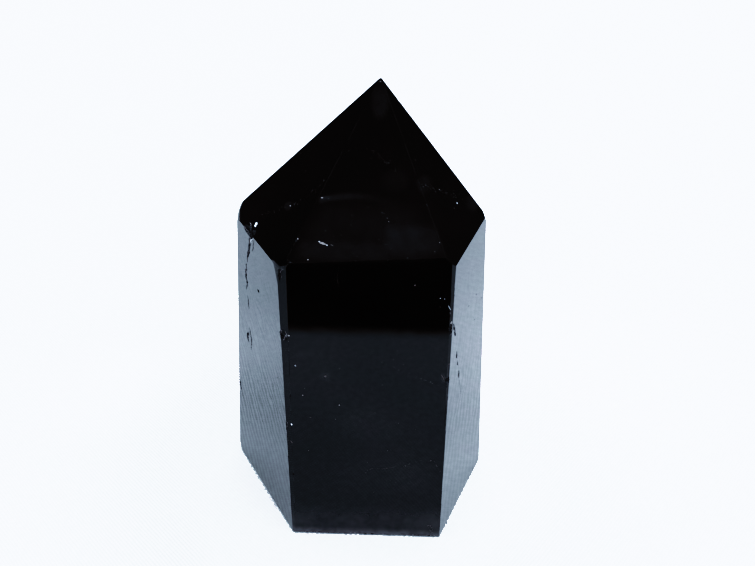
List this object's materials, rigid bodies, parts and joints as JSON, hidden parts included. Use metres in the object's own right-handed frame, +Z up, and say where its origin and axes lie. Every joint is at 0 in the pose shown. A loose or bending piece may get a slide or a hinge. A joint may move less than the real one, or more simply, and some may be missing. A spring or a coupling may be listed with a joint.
{
  "type": "morion quartz crystal",
  "caption": "Polished black smoky quartz point: an irregular hexagonal prism under a pyramid, with worn bevelled edges, standing on a flat sawn base.",
  "frame": {"origin": "middle of the crystal's bounding box, on the flat base that it stands on", "axes": "+Z up the prism towards the tip, -Y out of the widest front face, +X to the right of someone who looks at that face"},
  "size_m": [0.0422, 0.0384, 0.0698],
  "materials": {
    "morion": "polished to a gloss, black and opaque"
  },
  "bodies": {
    "root": {"crystal": "morion"}
  },
  "joints": []
}
